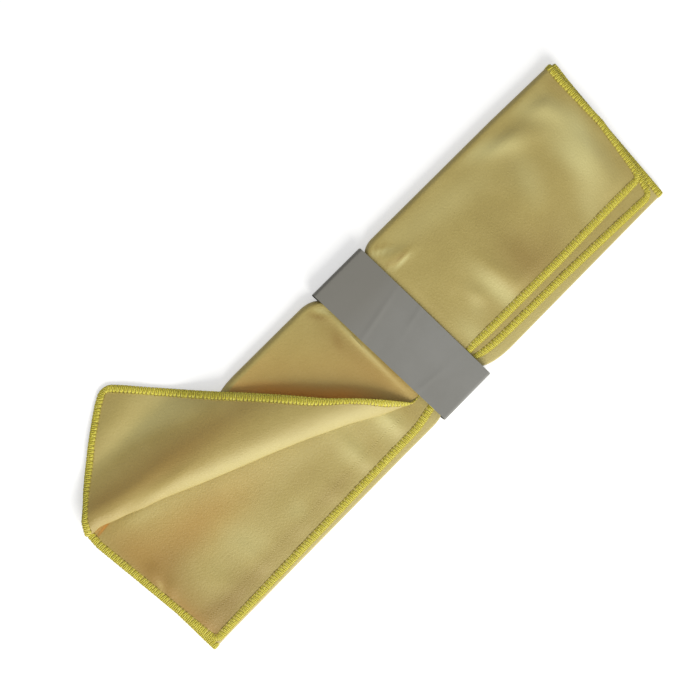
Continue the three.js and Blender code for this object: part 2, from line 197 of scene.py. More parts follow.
# Turned corner: its crease, the roll along it, and the flap behind
corner = {
    "creaseInset": 0.3, "creaseEndX": -20, "creaseBow": 5, "bowStart": 0.16, "bowEnd": 0.24,
    "creaseBend": 2.8, "bendPlace": 0.62, "bendReach": 0.25,
    "startDip": 1.3, "dipPlace": 0.155, "dipReach": 0.045,
    "startLift": 1.7, "liftPlace": 0.04, "liftReach": 0.03,
    "rollRadius": 1.7, "humpRun": 16.5, "humpRise": 5.7, "easeRun": 14, "fallSlope": 0.37,
    "leftScale": 0.38, "leftReach": 0.5, "rightScale": 0.7, "rightReach": 0.3,
    "edgePull": 5, "edgePullReach": 18, "takeUp": 1.0, "slack": 2.6, "takeUpFrom": -1, "takeUpRun": 32,
    "clear": 1.1, "sideFrom": 49, "sideRun": 9, "landing": 1.6, "landingRun": 5, "ridgeRun": 12,
    "crestFrom": 60,
}
creaseStart = np.array([leftEnd, doubleTurnY - corner["creaseInset"]])
creaseEnd = np.array([corner["creaseEndX"], topEdgeY])
creaseSpan = np.linalg.norm(creaseEnd - creaseStart)
alongCrease = (creaseEnd - creaseStart) / creaseSpan
overCrease = np.array([alongCrease[1], -alongCrease[0]])
rollTurn = math.pi - math.atan(2 * corner["humpRise"] / corner["humpRun"])


def fromCreaseStart(u, v, direction):
    return (u - creaseStart[0]) * direction[0] + (topEdgeY + v - creaseStart[1]) * direction[1]


def creaseShare(u, v):
    return np.clip(fromCreaseStart(u, v, alongCrease) / creaseSpan, 0, 1)


def foldScale(u, v):
    t = creaseShare(u, v)
    atLeft = lerp(corner["leftScale"], 1, smooth(t / corner["leftReach"]))
    return atLeft * lerp(corner["rightScale"], 1, smooth((1 - t) / corner["rightReach"]))


def bowAt(u, v):
    t = creaseShare(u, v)
    bend = corner["creaseBend"] * swell(t, corner["bendPlace"], corner["bendReach"])
    dip = corner["startDip"] * swell(t, corner["dipPlace"], corner["dipReach"])
    lift = corner["startLift"] * swell(t, corner["liftPlace"], corner["liftReach"])
    ends = smooth(t / corner["bowStart"]), smooth((1 - t) / corner["bowEnd"])
    bow = (corner["creaseBow"] + bend) * ends[0] * ends[1]
    return bow - dip + lift * smooth(t / corner["liftReach"])


def pastCrease(u, v):
    return fromCreaseStart(u, v, overCrease) + bowAt(u, v)


# How far a place lies past the roll, which ends at its crest
def pastRoll(u, v):
    return pastCrease(u, v) - (rollTurn * corner["rollRadius"] + corner["humpRun"]) * foldScale(u, v)


# Height behind the round of the crease: up to the crest, and over into a steady fall
def humpHeight(back):
    rise = corner["humpRise"] * (1 - (1 - np.clip(back / corner["humpRun"], 0, 1)) ** 2)
    easing = np.clip(back - corner["humpRun"], 0, corner["easeRun"])
    steady = np.maximum(back - corner["humpRun"] - corner["easeRun"], 0)
    return rise - corner["fallSlope"] * (easing ** 2 / (2 * corner["easeRun"]) + steady)


# The crease draws the free edge in where it runs out there
def topLayerY(x, y):
    away = ((x - creaseEnd[0]) ** 2 + (y - creaseEnd[1]) ** 2) / corner["edgePullReach"] ** 2
    return drawnY(x, y) + corner["edgePull"] * np.exp(-away / 2)


def ridgeHeight(x, y, rows):
    height = np.zeros_like(x)
    for cx, cy, length, angle, width, high in rows:
        a = math.radians(angle)
        s = (x - cx) * math.cos(a) + (y - cy) * math.sin(a)
        t = -(x - cx) * math.sin(a) + (y - cy) * math.cos(a)
        height += high * np.exp(-((s / (length * ridgeTail)) ** 2) - (t / width) ** 2)
    return height


def underRoll(x, y):
    sides, end = fade(np.abs(y), *ridgeFade["rollSides"]), fade(x, *ridgeFade["rollEnd"])
    return ridgeHeight(x, y, softRidges["roll"]) * sides * end


def turnedPoints(u, v):
    scale, past, bow = foldScale(u, v), pastCrease(u, v), bowAt(u, v)
    r = corner["rollRadius"]
    angle = np.clip(past / scale / r, 0, rollTurn)
    back = np.maximum(past - rollTurn * r * scale, 0)
    # The roll is fuller where the crease bows out and takes up more of the cloth there
    taken = corner["takeUp"] * bow + corner["slack"]
    back = back - taken * fade(back, corner["takeUpFrom"], corner["takeUpRun"])
    travel = fromCreaseStart(u, v, alongCrease)
    reach = r * np.sin(angle) * scale - back - bow
    up = r * (1 - np.cos(angle)) + humpHeight(back / scale)
    x = creaseStart[0] + alongCrease[0] * travel + overCrease[0] * reach
    y = creaseStart[1] + alongCrease[1] * travel + overCrease[1] * reach
    behind = back - corner["humpRun"] * scale
    onTop = restLevel(x) + topLevel * pitch + underRoll(x, y)
    rolled = onTop + up * scale
    # It comes down on the top layer, and past the double fold on the table
    onTable = cloth["stitchReach"] + cloth["tableGap"]
    below = lerp(onTop + corner["clear"], onTable, fade(y, corner["sideFrom"], corner["sideRun"]))
    landed = (rolled + below + np.sqrt((rolled - below) ** 2 + corner["landing"] ** 2)) / 2
    uneven = ridgeHeight(x, y, softRidges["corner"]) * smooth(behind / corner["ridgeRun"])
    z = lerp(rolled, landed, smooth(behind / corner["landingRun"])) + uneven
    return np.stack([x, topLayerY(x, y), z], -1)


# Flat places on the sheet, moved so that its cut edges wander a little
def wanderedPlaces(u, v):
    reach = wander["reach"]
    left = along(wander["leftEnd"], v) * fade(u, leftEnd + reach, -reach)
    right = along(wander["rightEnd"], v) * fade(u, rightEnd - reach, reach)
    lower = along(wander["lowerEdge"], u) * fade(v, sheetWidth - reach, reach)
    upper = along(wander["upperEdge"], u) * fade(v, reach, -reach)
    return u + left + right, v + lower + upper


def middlePoints(flatU, flatV):
    u, v = wanderedPlaces(flatU, flatV)
    y, z, number = sectionPoints(v)
    inTop = v < topLayerRun
    made = np.stack([u, np.where(inTop, topLayerY(u, y), drawnY(u, y)), z + restLevel(u)], -1)
    made[:, 1] += along(foldSpread["along"], u) * fade(made[:, 1], *foldSpread["across"])
    fromBand = np.abs(u + cloth["bandSkew"] * y) - cloth["bandHalf"]
    leftOf, rightOf = fade(fromBand, *ridgeFade["leftOfBand"]), fade(fromBand, *ridgeFade["rightOfBand"])
    endMargin, endRun = ridgeFade["plainEnd"]
    offBand = np.where(u < 0, leftOf, rightOf) * fade(u, rightEnd - endMargin, endRun)
    edgeMargin, edgeRun = ridgeFade["topEdge"]
    overFree = np.where(inTop, fade(y, topEdgeY + edgeMargin, edgeRun), 1)
    soft = ridgeHeight(u, y, softRidges["top"]) * offBand * fade(np.abs(y), *ridgeFade["sides"])
    edgeMargin, edgeRun = ridgeFade["underEdge"]
    under = ridgeHeight(u, y, softRidges["under"]) * fade(y, underEdgeY + edgeMargin, edgeRun)
    topShares, rollShares = (np.array(ridgeFade[key])[number] for key in ("topShares", "rollShares"))
    made[:, 2] += soft * topShares * overFree + np.where(number == underRun, under, 0)
    made[:, 2] += rollShares * underRoll(u, y)
    turned = inTop & (pastCrease(u, v) > 0)
    if turned.any():
        made[turned] = turnedPoints(u[turned], v[turned])
    return made


# Places on the sheet that lie off its middle, along its normal
def clothPoints(u, v, offset):
    probe = 0.02
    alongU = middlePoints(u + probe, v) - middlePoints(u - probe, v)
    alongV = middlePoints(u, v + probe) - middlePoints(u, v - probe)
    normal = np.cross(alongU, alongV)
    normal /= np.linalg.norm(normal, axis=1)[:, None]
    return middlePoints(u, v) + normal * np.asarray(offset)[:, None]


# Nap tone and painted light on each layer, darker below 0 and lighter above it: the nap's own patches mixed
# with strokes of painted shade and painted highlight along the crease, the corner's trough, pleats, puckers
# and the slit under the roll: x, y, length, angle, width, tone
napAndPaintedLight = {
    "top": [
        (-42, 18, 90, -52, 24, -0.05), (-29, 16, 76, 91, 6, -0.6), (-38, 24, 50, 91, 8, -0.25),
        (-23.3, 12, 60, 90, 1.5, 0.9), (-26, 47, 10, -60, 1.8, 0.9), (-29, 45, 10, -58, 1.4, -0.8),
        (-31, 27, 12, 62, 3, -0.4), (30, 33.6, 15, -8, 1.3, 1.2), (30, 36.2, 15, -10, 1.4, -1.1),
        (25, 46.5, 12, -30, 1.5, 0.8), (27, 49, 12, -30, 1.3, -0.6), (86, -19, 40, 90, 14, -0.9),
        (106, -24, 36, 40, 11, -0.45), (31, -30, 24, 90, 6, 0.55), (45, -18, 20, 60, 6, 0.3),
        (62, -22, 36, -84, 6, 0.9), (68, 40, 80, -8, 9, 0.35), (119, 43, 34, -28, 6, 0.8),
        (156, 2, 46, 80, 9, 0.85), (166, 10, 64, 88, 8, 0.35), (155, 40, 30, -55, 8, 0.6),
        (168, 14, 26, 70, 6, 0.4), (122, 14, 34, 70, 8, 0.4), (140, -24, 26, 70, 8, 0.4),
        (150, 8, 34, 90, 6, 0.3), (176, 42, 20, 90, 6, -0.4), (176, -26, 26, 90, 5, -0.3),
        (181, 6, 60, 90, 4, -0.5),
    ],
    "under": [
        (-130, -10, 240, -14, 34, 0.24), (-202, -8, 120, 88, 14, -0.6), (-178, 4, 56, 4, 13, -0.5),
        (-195, -40, 54, 0, 9, -0.8), (-198, 6, 34, 0, 10, -0.3), (-207, -1.5, 8, 60, 1.8, 1.2),
        (-203.5, 2, 9, 50, 1.8, -0.8), (-150, -38, 90, 2, 7, -0.4), (-180, 16, 60, -20, 12, -0.2),
        (-92, -36, 30, 0, 7, -0.5), (-102, -20, 56, 0, 8, -0.35), (-145, 0, 90, -6, 10, -0.15),
        (-120, -31, 16, 85, 6, 0.3), (-190, 36, 30, -22, 5, 0.35), (-72, -28, 26, 82, 8, 0.45),
        (-43, -28, 24, 84, 7, 0.7), (-28, -38, 16, 90, 5, -0.4), (-60, -36, 14, 90, 5, -0.3),
        (-55, -14, 40, -24, 5, 0.4), (-156, -16, 40, -75, 9, 0.35), (-209, -14, 110, 90, 6, -0.4),
        # A painted dark line of shade in the slit under the roll's left end
        (-206, 45.7, 13, 6, 0.7, -2.2),
    ],
    "corner": [
        (-150, 99, 30, 0, 7, -0.3), (-180, 76, 44, 34, 9, 0.1), (-162, 73, 60, -6, 6, 0.35),
        (-140, 68, 40, -30, 7, 0.3), (-110, 12, 200, -24.5, 6, 0.4), (-140, 48, 130, -24.5, 12, -0.2),
        (-155, 48, 110, -9, 8, -0.65), (-198, 59, 30, -12, 6, -0.6), (-56, -10, 46, -42, 8, 0.15),
        (-128, 72, 40, -48, 9, 0.35),
    ],
    # The single fold's turn is painted lighter: a painted highlight
    "singleFold": 0.35,
}
# Painted warm shade: orange standing in for light bounced and shaded in the folds, beside the turned corner's
# hem, and in strokes on the layers near it
paintedWarmShade = {
    "reach": 7.5, "under": 2, "facing": (0.74, 0.67), "wideReach": 28, "wide": 0.2,
    "hemFrom": 20, "hemTo": 22, "hemPlaces": 60,
    "along": [(0.3, 0.2), (0.42, 0.55), (0.52, 0.85), (0.82, 0.85), (0.93, 0.45), (1, 0.2)],
    "warm": [
        # The first two strokes paint the orange shade inside the roll's left end; the others paint warm
        # bounced light on the layer below
        (-207.5, 47.6, 11, -4, 1.4, 0.36), (-206, 45.7, 13, 6, 0.7, 0.5), (-205, -4, 120, 88, 10, 0.08),
        (-208, -30, 50, 90, 4, 0.1), (-150, 6, 80, 0, 14, 0.06), (-178, 14, 80, -20, 16, 0.15),
    ],
    "corner": [(-150, 48, 120, -12, 14, 0.1)],
}
# The hem's width, how soft its inner border is, and how it narrows where the crease runs out
hemTaper = {"reach": 3.9, "border": 0.8, "before": 24, "after": 10, "least": 0.12}


# Painted warm shade beside the turned corner's hem, under which the top layer disappears
def paintedShadeBesideHem(x, y):
    hemFrom, hemTo = leftEnd + paintedWarmShade["hemFrom"], creaseEnd[0] - paintedWarmShade["hemTo"]
    hemU = np.linspace(hemFrom, hemTo, paintedWarmShade["hemPlaces"])
    hem = middlePoints(hemU, np.zeros_like(hemU))
    shares = along(paintedWarmShade["along"], np.linspace(0, 1, len(hem)))
    paintedWarmShare = np.zeros_like(x)
    for share, (hemX, hemY, _) in zip(shares, hem):
        outside = (x - hemX) * paintedWarmShade["facing"][0] + (y - hemY) * paintedWarmShade["facing"][1] > 0
        beside = np.hypot(x - hemX, y - hemY) * np.where(outside, 1, paintedWarmShade["under"])
        paintedWarmShare = np.maximum(paintedWarmShare, share * swell(beside, 0, paintedWarmShade["reach"]))
        paintedWarmShare = np.maximum(paintedWarmShare, paintedWarmShade["wide"] * swell(beside, 0, paintedWarmShade["wideReach"]))
    return paintedWarmShare


def clothLooks(flatU, flatV):
    u, v = wanderedPlaces(flatU, flatV)
    number = sectionPoints(v)[2]
    x, y = middlePoints(flatU, flatV)[:, :2].T
    turned = (v < topLayerRun) & (pastCrease(u, v) > 0)
    top = (number == topRun) & ~turned
    under = number == underRun
    tone = np.where((number == singleTurnRun) | (number == innerRun), napAndPaintedLight["singleFold"], 0.0)
    for here, name in ((top, "top"), (under, "under"), (turned, "corner")):
        tone += np.where(here, ridgeHeight(x, y, napAndPaintedLight[name]), 0)
    paintedWarmth = np.where(top, paintedShadeBesideHem(x, y), 0)
    for here, name in ((under, "warm"), (turned, "corner")):
        paintedWarmth += np.where(here, ridgeHeight(x, y, paintedWarmShade[name]), 0)
    fromEnds = np.minimum(flatU - leftEnd, rightEnd - flatU)
    fromEdge = np.minimum(fromEnds, np.minimum(flatV, sheetWidth - flatV))
    outCrease = creaseEnd[0] - hemTaper["before"], creaseEnd[0], creaseEnd[0] + hemTaper["after"]
    narrowed = np.interp(flatU, outCrease, (1, hemTaper["least"], 1))
    taper = np.where(flatV < 2 * hemTaper["reach"], narrowed, 1)
    hem = smooth((hemTaper["reach"] * taper - fromEdge) / hemTaper["border"])
    return {"tone": tone, "paintedWarmth": paintedWarmth, "hem": hem}


# Meshes, made in millimetres and kept in metres
perMetre = 1000
perCentimetre = 10  # flat patterns are in centimetres
mergeDistance = 1e-7
sharpAngle = 50
halvings = 50  # of a search between two places


def stations(keys, step):
    made = [keys[0]]
    for key in keys[1:]:
        count = max(1, math.ceil((key - made[-1]) / step))
        made += list(np.linspace(made[-1], key, count + 1)[1:])
    return np.array(made)


# Stretches of stations that follow each other, each with its own step
def joinedStations(stretches):
    made = [stations(keys, step) for keys, step in stretches]
    return np.concatenate([part[:-1] for part in made[:-1]] + made[-1:])


def roundCorners(u, v, corners):
    r = cloth["cornerRadius"]
    for cornerU, cornerV, insideU, insideV in corners:
        a = (cornerU + insideU * r - u) * insideU / r
        b = (cornerV + insideV * r - v) * insideV / r
        here = (a > 0) & (b > 0)
        roundA = a * np.sqrt(np.maximum(1 - b * b / 2, 0))
        roundB = b * np.sqrt(np.maximum(1 - a * a / 2, 0))
        u = np.where(here, cornerU + insideU * r * (1 - roundA), u)
        v = np.where(here, cornerV + insideV * r * (1 - roundB), v)
    return u, v


def addPiece(name, data):
    piece = bpy.data.objects.new(name, data)
    scene.collection.objects.link(piece)
    return piece


def layFlat(mesh, name, flat):
    corners = np.empty(len(mesh.loops), np.int32)
    mesh.loops.foreach_get("vertex_index", corners)
    layer = mesh.uv_layers.new(name=name)
    layer.data.foreach_set("uv", flat[corners].astype(np.float32).ravel())


def meshPiece(name, points, faces, material, flat=None, looks=None):
    mesh = bpy.data.meshes.new(name)
    mesh.from_pydata((points / perMetre).tolist(), [], faces)
    if flat is not None:
        layFlat(mesh, "flatCloth", flat / perCentimetre)
    for key, values in (looks or {}).items():
        mesh.attributes.new(key, "FLOAT", "POINT").data.foreach_set("value", values.astype(np.float32))
    bm = bmesh.new()
    bm.from_mesh(mesh)
    bmesh.ops.remove_doubles(bm, verts=bm.verts, dist=mergeDistance)
    bm.to_mesh(mesh)
    bm.free()
    mesh.shade_smooth()
    mesh.set_sharp_from_angle(angle=math.radians(sharpAngle))
    mesh.materials.append(material)
    return addPiece(name, mesh)


# Faces of a closed sheet: the same grid on both of its sides, and the rim between them
def shellFaces(columns, rows):
    n = columns * rows
    grid = np.arange(n).reshape(columns, rows)
    quads = np.stack([grid[:-1, :-1], grid[1:, :-1], grid[1:, 1:], grid[:-1, 1:]], -1).reshape(-1, 4)
    faces = []
    for a, b, c, d in quads.tolist():
        faces += [(a, b, c, d), (n + d, n + c, n + b, n + a)]
    rim = np.concatenate([grid[:, 0], grid[-1, 1:], grid[-2::-1, -1], grid[0, -2:0:-1]]).tolist()
    for a, b in zip(rim, rim[1:] + rim[:1]):
        faces.append((a, n + a, n + b, b))
    return faces


# A sheet over a grid of flat places, columns along the strip and rows across it
def sheetPiece(name, u, v, material):
    flatU, flatV = u.ravel(), v.ravel()
    half = np.full(flatU.size, cloth["fabric"] / 2)
    points = np.concatenate([clothPoints(flatU, flatV, half), clothPoints(flatU, flatV, -half)])
    flat = np.tile(np.stack([flatU, flatV], -1), (2, 1))
    looks = {key: np.tile(values, 2) for key, values in clothLooks(flatU, flatV).items()}
    return meshPiece(name, points, shellFaces(*u.shape), material, flat, looks)


# Where a line of the turned corner crosses each column of the top layer
def crossedRows(measure, u):
    low, high = np.zeros_like(u), np.full_like(u, topLayerRun)
    for _ in range(halvings):
        middle = (low + high) / 2
        over = measure(*wanderedPlaces(u, middle)) > 0
        low, high = np.where(over, middle, low), np.where(over, high, middle)
    return np.where(u < creaseEnd[0], low, 0)


# Where the crest of the roll runs out on the free edge
def crestOut():
    low, high = leftEnd + corner["crestFrom"], creaseEnd[0]
    for _ in range(halvings):
        middle = (low + high) / 2
        if pastRoll(np.array([middle]), np.zeros(1))[0] > 0:
            low = middle
        else:
            high = middle
    return low


crestEnd = crestOut()


# Materials
def makeMaterial(name, finish):
    material = bpy.data.materials.new(name)
    material.use_nodes = True
    shader = material.node_tree.nodes["Principled BSDF"]
    for key, value in finish.items():
        shader.inputs[key].default_value = value
    return material, material.node_tree, shader


# A node whose inputs are given as fixed values or as the sockets that feed them
def addNode(tree, kind, inputs=None, **settings):
    node = tree.nodes.new(kind)
    for key, value in settings.items():
        setattr(node, key, value)
    for key, value in (inputs or {}).items():
        if isinstance(value, bpy.types.NodeSocket):
            tree.links.new(value, node.inputs[key])
        else:
            node.inputs[key].default_value = value
    return node


def coordinates(tree, kind):
    return addNode(tree, "ShaderNodeTexCoord").outputs[kind]


def attribute(tree, name):
    return addNode(tree, "ShaderNodeAttribute", attribute_name=name).outputs["Fac"]


def splitPlace(tree, place):
    return addNode(tree, "ShaderNodeSeparateXYZ", {0: place}).outputs


def noise(tree, place, scale, detail, roughness):
    inputs = {"Vector": place, "Scale": scale, "Detail": detail, "Roughness": roughness}
    return addNode(tree, "ShaderNodeTexNoise", inputs).outputs["Fac"]


def maths(tree, operation, *values):
    return addNode(tree, "ShaderNodeMath", dict(enumerate(values)), operation=operation).outputs[0]


def mapRange(tree, value, given, wanted):
    inputs = dict(zip(("From Min", "From Max", "To Min", "To Max"), (*given, *wanted)))
    return addNode(tree, "ShaderNodeMapRange", {"Value": value, **inputs}).outputs["Result"]


def colourMix(tree, share, colour, target):
    inputs = {"Factor": share, 6: colour, 7: (*target, 1)}
    return addNode(tree, "ShaderNodeMix", inputs, data_type="RGBA").outputs[2]


def colourRamp(tree, share, stops):
    node = addNode(tree, "ShaderNodeValToRGB", {"Fac": share})
    elements = node.color_ramp.elements
    while len(elements) < len(stops):
        elements.new(0.5)
    for element, (place, colour) in zip(elements, stops):
        element.position = place
        element.color = (*colour, 1)
    return node.outputs["Color"]


def bump(tree, height, strength, distance, normal=None):
    inputs = {"Height": height, "Strength": strength, "Distance": distance}
    if normal:
        inputs["Normal"] = normal
    return addNode(tree, "ShaderNodeBump", inputs).outputs["Normal"]


# Noises are scale, detail and roughness; bumps are strength and height in metres
suede = {
    "shade": (0.393, 0.303, 0.076), "middle": (0.42, 0.329, 0.086), "bloom": (0.456, 0.361, 0.104),
    # The darker mix colour is painted shade with darker nap; along is a pale painted highlight and sheen with
    # lighter nap
    "stops": (0.55, 0.78, 1.0), "napDarkAndPaintedShade": (0.295, 0.2, 0.036), "along": (0.625, 0.555, 0.22),
    # The glow colour is the orange of the painted warm shade in the folds
    "paintedGlowColour": (0.74, 0.275, 0.008), "underThread": (0.5, 0.41, 0.05),
    "cloudy": (0.45, 3, 0.55), "brushed": (7, 4, 0.65), "grain": (20, 3, 0.6), "brushedShare": 0.55,
    "markPlace": 39.36, "markHalf": 0.07, "markPitch": 0.15,
    "markBump": (0.5, 0.0002), "napBump": (0.6, 0.0002), "weaveBump": (0.6, 0.0004),
    "finish": {
        "Roughness": 0.55, "Specular IOR Level": 0.7, "Sheen Weight": 0.3, "Sheen Roughness": 0.45,
        "Sheen Tint": (1, 0.95, 0.78, 1),
    },
}


def suedeMaterial():
    material, tree, shader = makeMaterial("yellowSuede", suede["finish"])
    place = coordinates(tree, "UV")
    cloudy, brushed, grain = (noise(tree, place, *suede[key]) for key in ("cloudy", "brushed", "grain"))
    mixed = maths(tree, "MULTIPLY_ADD", brushed, suede["brushedShare"], cloudy)
    tones = [suede[key] for key in ("shade", "middle", "bloom")]
    colour = colourRamp(tree, mixed, list(zip(suede["stops"], tones)))
    # Painted shade and painted highlight mixed with the nap's tone, darker or lighter by the tone strokes
    tone = attribute(tree, "tone")
    for name, full in (("napDarkAndPaintedShade", -1), ("along", 1)):
        colour = colourMix(tree, mapRange(tree, tone, (0, full), (0, 1)), colour, suede[name])
    # Painted warm shade: deep in a fold the colour turns orange, standing in for light bounced inside the
    # fold
    colour = colourMix(tree, attribute(tree, "paintedWarmth"), colour, suede["paintedGlowColour"])
    colour = colourMix(tree, attribute(tree, "hem"), colour, suede["underThread"])
    tree.links.new(colour, shader.inputs["Base Color"])
    # A dotted mark that the top layer's stitching has pressed into the layer below it
    flat = splitPlace(tree, place)
    away = maths(tree, "ABSOLUTE", maths(tree, "SUBTRACT", flat["Y"], suede["markPlace"]))
    inMark = mapRange(tree, away, (0, suede["markHalf"]), (1, 0))
    dots = maths(tree, "SINE", maths(tree, "MULTIPLY", flat["X"], 2 * math.pi / suede["markPitch"]))
    normal = bump(tree, maths(tree, "MULTIPLY", dots, inMark), *suede["markBump"])
    normal = bump(tree, grain, *suede["napBump"], normal)
    normal = bump(tree, brushed, *suede["weaveBump"], normal)
    tree.links.new(normal, shader.inputs["Normal"])
    return material


# The colour turns to painted shade at the hem's edge, which is 0, and at the needle line, which is 1
yarn = {
    "shade": (0.54, 0.46, 0.04), "middle": (0.68, 0.61, 0.06), "bloom": (0.8, 0.74, 0.16),
    "stops": (0.3, 0.52, 0.75), "edge": (0.46, 0.38, 0.035), "needle": (0.3, 0.2, 0.03),
    "turns": {"edge": (0, -0.12), "needle": (0.96, 1.03)}, "turnShare": 0.85,
    "tone": (900, 2, 0.6), "twist": (6000, 2, 0.5), "fuzzBump": (0.4, 0.0001),
    "finish": {"Roughness": 0.5, "Sheen Weight": 0.2, "Sheen Roughness": 0.4},
}


def yarnMaterial():
    material, tree, shader = makeMaterial("yellowYarn", yarn["finish"])
    place = coordinates(tree, "Object")
    tones = [yarn[key] for key in ("shade", "middle", "bloom")]
    colour = colourRamp(tree, noise(tree, place, *yarn["tone"]), list(zip(yarn["stops"], tones)))
    across = splitPlace(tree, coordinates(tree, "UV"))["Y"]
    for name, turn in yarn["turns"].items():
        colour = colourMix(tree, mapRange(tree, across, turn, (0, yarn["turnShare"])), colour, yarn[name])
    tree.links.new(colour, shader.inputs["Base Color"])
    fuzz = bump(tree, noise(tree, place, *yarn["twist"]), *yarn["fuzzBump"])
    tree.links.new(fuzz, shader.inputs["Normal"])
    return material


greyPaper = {
    "shade": (0.235, 0.232, 0.212), "bloom": (0.27, 0.268, 0.25), "stops": (0.3, 0.7),
    "paintedShade": (0.214, 0.207, 0.182), "paintedShadeRange": (0.008, 0.034),
    "cloudy": (28, 4, 0.5), "fibre": (1400, 3, 0.6), "toothBump": (0.15, 0.0001),
    "finish": {"Roughness": 0.6, "Specular IOR Level": 0.3},
}


def paperMaterial():
    material, tree, shader = makeMaterial("greyPaper", greyPaper["finish"])
    place = coordinates(tree, "Object")
    tones = [greyPaper[key] for key in ("shade", "bloom")]
    colour = colourRamp(tree, noise(tree, place, *greyPaper["cloudy"]), list(zip(greyPaper["stops"], tones)))
    # Painted shade: the half towards the double fold is a little darker and warmer
    far = mapRange(tree, splitPlace(tree, place)["Y"], greyPaper["paintedShadeRange"], (0, 1))
    tree.links.new(colourMix(tree, far, colour, greyPaper["paintedShade"]), shader.inputs["Base Color"])
    tooth = bump(tree, noise(tree, place, *greyPaper["fibre"]), *greyPaper["toothBump"])
    tree.links.new(tooth, shader.inputs["Normal"])
    return material


glue = {
    "stops": [(0.35, (0.66, 0.62, 0.5)), (0.65, (0.8, 0.77, 0.68))], "smear": (220, 3, 0.5),
    "finish": {"Roughness": 0.45},
}


def glueMaterial():
    material, tree, shader = makeMaterial("dryGlue", glue["finish"])
    smear = noise(tree, coordinates(tree, "Object"), *glue["smear"])
    tree.links.new(colourRamp(tree, smear, glue["stops"]), shader.inputs["Base Color"])
    return material


suedeCloth = suedeMaterial()
yellowYarn = yarnMaterial()
plainPaper = paperMaterial()
dryGlue = glueMaterial()
print("materials made")

# Folded sheet
sheetGrid = {
    "rim": 8, "rimStep": 1.2, "column": 2.6, "bandSide": 60, "bandColumn": 1.5,
    "topRows": 40, "edgeRows": (0.3, 0.65), "outerTurnRows": 14, "innerTurnRows": 8,
    "hiddenRow": 6, "fine": 7, "fineRow": 0.5, "layerRow": 2.4,
}


def foldedSheet():
    rim, rimStep, side = sheetGrid["rim"], sheetGrid["rimStep"], sheetGrid["bandSide"]
    columns = joinedStations([
        ([leftEnd, leftEnd + rim], rimStep), ([leftEnd + rim, -side], sheetGrid["column"]),
        ([-side, creaseEnd[0], side], sheetGrid["bandColumn"]), ([side, rightEnd - rim], sheetGrid["column"]),
        ([rightEnd - rim, rightEnd], rimStep),
    ])
    crossed = crossedRows(pastCrease, columns)
    shares = np.linspace(0, 1, sheetGrid["topRows"])
    shares = np.concatenate([shares[:1], shares[1] * np.array(sheetGrid["edgeRows"]), shares[1:]])
    top = crossed[:, None] + shares[None, :] * (topLayerRun - crossed)[:, None]
    fineTo = runStarts[6] + sheetGrid["fine"]
    rows = [
        np.linspace(*runStarts[1:3], sheetGrid["outerTurnRows"] + 1),
        stations(runStarts[2:4], sheetGrid["hiddenRow"]),
        np.linspace(*runStarts[3:5], sheetGrid["innerTurnRows"] + 1),
        stations(runStarts[4:6], sheetGrid["hiddenRow"]),
        np.linspace(*runStarts[5:7], sheetGrid["innerTurnRows"] + 1),
        stations([runStarts[6], fineTo], sheetGrid["fineRow"]),
        stations([fineTo, sheetWidth - rim], sheetGrid["layerRow"]),
        stations([sheetWidth - rim, sheetWidth], rimStep),
    ]
    lower = np.concatenate([row[1:] for row in rows])
    v = np.concatenate([top, np.broadcast_to(lower, (len(columns), len(lower)))], 1)
    u = np.broadcast_to(columns[:, None], v.shape)
    rounded = [(rightEnd, 0, -1, 1), (rightEnd, sheetWidth, -1, -1), (leftEnd, sheetWidth, 1, -1)]
    return sheetPiece("foldedSheet", *roundCorners(u, v, rounded), suedeCloth)


cornerGrid = {
    "rim": 8, "rimStep": 0.8, "column": 1.7, "crest": 6, "crestStep": 1.2,
    "flapRows": 46, "humpRows": 18, "turnRows": 24, "humpShare": 0.72, "tolerance": 1e-9,
}


def turnedColumns():
    rim, crestFrom, creaseTo = leftEnd + cornerGrid["rim"], crestEnd - cornerGrid["crest"], creaseEnd[0]
    return joinedStations([
        ([leftEnd, rim], cornerGrid["rimStep"]), ([rim, crestFrom], cornerGrid["column"]),
        ([crestFrom, crestEnd, creaseTo - cornerGrid["rim"]], cornerGrid["crestStep"]),
        ([creaseTo - cornerGrid["rim"], creaseTo], cornerGrid["rimStep"]),
    ])


# The roll along the crease, up to its crest
def creaseRoll():
    columns = turnedColumns()
    crest, crossed = crossedRows(pastRoll, columns), crossedRows(pastCrease, columns)
    # Rows crowd towards the crease, where the sheet rolls over
    split = cornerGrid["humpShare"]
    hump, turn = np.linspace(0, split, cornerGrid["humpRows"]), np.linspace(split, 1, cornerGrid["turnRows"])
    shares = np.concatenate([hump[:-1], turn])
    v = crest[:, None] + shares[None, :] * (crossed - crest)[:, None]
    return sheetPiece("creaseRoll", np.broadcast_to(columns[:, None], v.shape), v, suedeCloth)


# The flap behind it
def turnedFlap():
    columns = turnedColumns()
    columns = columns[columns <= crestEnd + cornerGrid["tolerance"]]
    v = np.linspace(0, 1, cornerGrid["flapRows"])[None, :] * crossedRows(pastRoll, columns)[:, None]
    u = np.broadcast_to(columns[:, None], v.shape)
    return sheetPiece("turnedFlap", *roundCorners(u, v, [(leftEnd, 0, 1, 1)]), suedeCloth)


sheet = foldedSheet()
print("folded sheet:", len(sheet.data.polygons), "faces")
roll = creaseRoll()
flap = turnedFlap()
print("turned corner:", len(roll.data.polygons), "and", len(flap.data.polygons), "faces")

